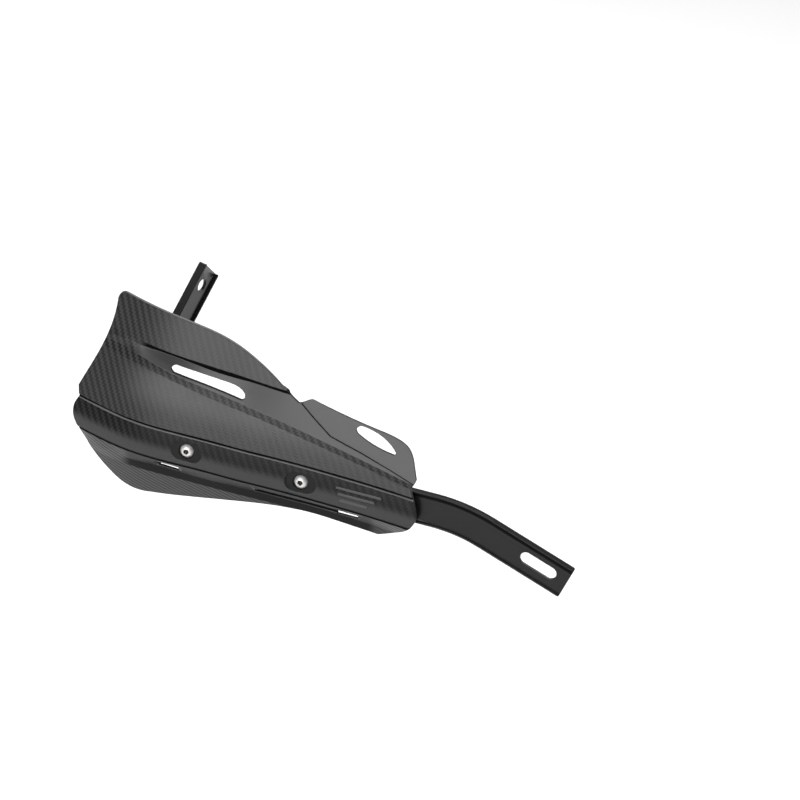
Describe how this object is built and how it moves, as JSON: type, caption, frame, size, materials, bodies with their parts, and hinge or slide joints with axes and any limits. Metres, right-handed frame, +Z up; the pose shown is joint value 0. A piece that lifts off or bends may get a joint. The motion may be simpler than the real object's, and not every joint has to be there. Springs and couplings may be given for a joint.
{
  "type": "motorcycle hand guard",
  "caption": "Hand guard for one end of a motorcycle handlebar: a moulded, vented shield screwed to a black H-section bar with a bar-end hole and a slotted clamp arm.",
  "frame": {"origin": "centre of the bar-end hole in the web of the bar's rear leg", "axes": "+X inwards along the line through the two shield screws, towards the middle of the handlebar; +Y backwards to the rider; +Z up, square to both"},
  "size_m": [0.4091, 0.1067, 0.1773],
  "materials": {
    "shield_plastic": "satin black moulding with a printed weave",
    "bar_black": "black anodised, satin gloss",
    "screw_steel": "bright stainless",
    "nut_steel": "zinc plated"
  },
  "bodies": {
    "root": {"shield": "shield_plastic", "support_bar": "bar_black", "shield_screws": "screw_steel", "flange_nuts": "nut_steel"}
  },
  "joints": []
}
